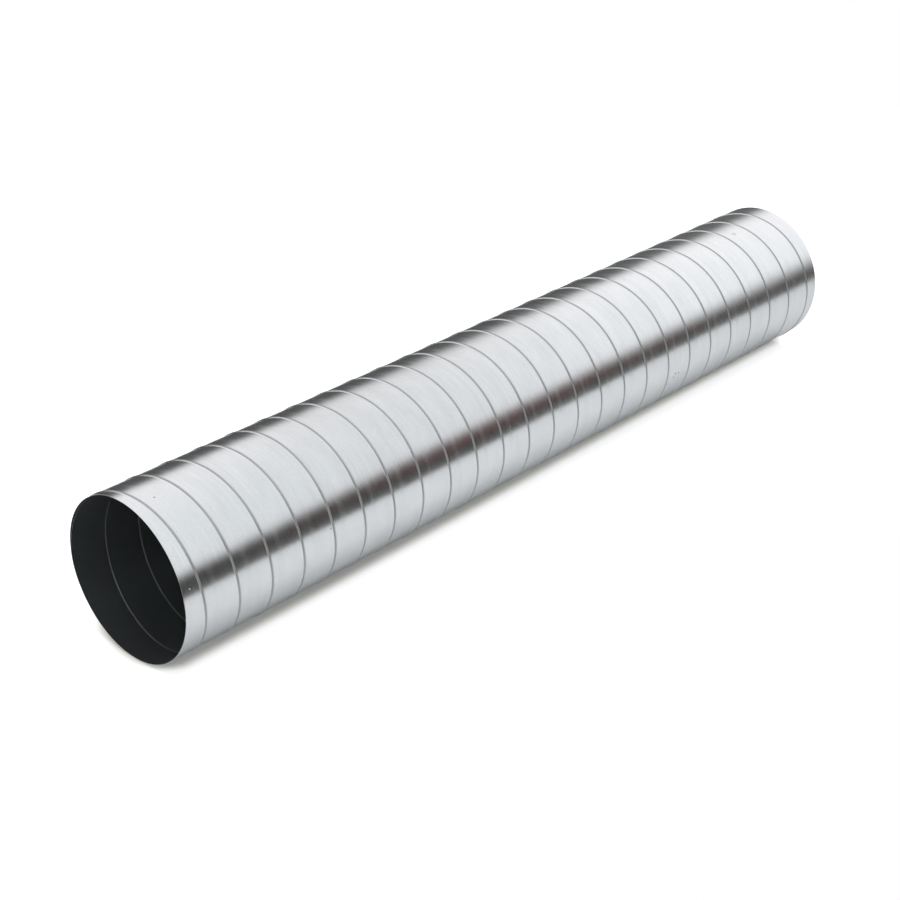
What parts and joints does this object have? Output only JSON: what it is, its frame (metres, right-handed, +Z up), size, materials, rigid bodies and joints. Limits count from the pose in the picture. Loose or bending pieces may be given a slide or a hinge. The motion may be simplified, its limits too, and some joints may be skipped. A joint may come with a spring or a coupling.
{
  "type": "spiral duct section",
  "caption": "Straight round ventilation duct of galvanised steel strip wound in a helix, open at both ends, with a raised lock seam spiralling along its outside.",
  "frame": {"origin": "on the ground under the middle of the duct's length, where the duct lies on the crests of its seam", "axes": "+X along the duct, +Z up, +Y to the side; the seam winds right-handed about +X"},
  "size_m": [3, 0.5048, 0.5046],
  "materials": {
    "galvanised_steel": "galvanised, smooth and softly reflective, with fine rolling lines round the duct"
  },
  "bodies": {
    "root": {"spiral_duct": "galvanised_steel"}
  },
  "joints": []
}
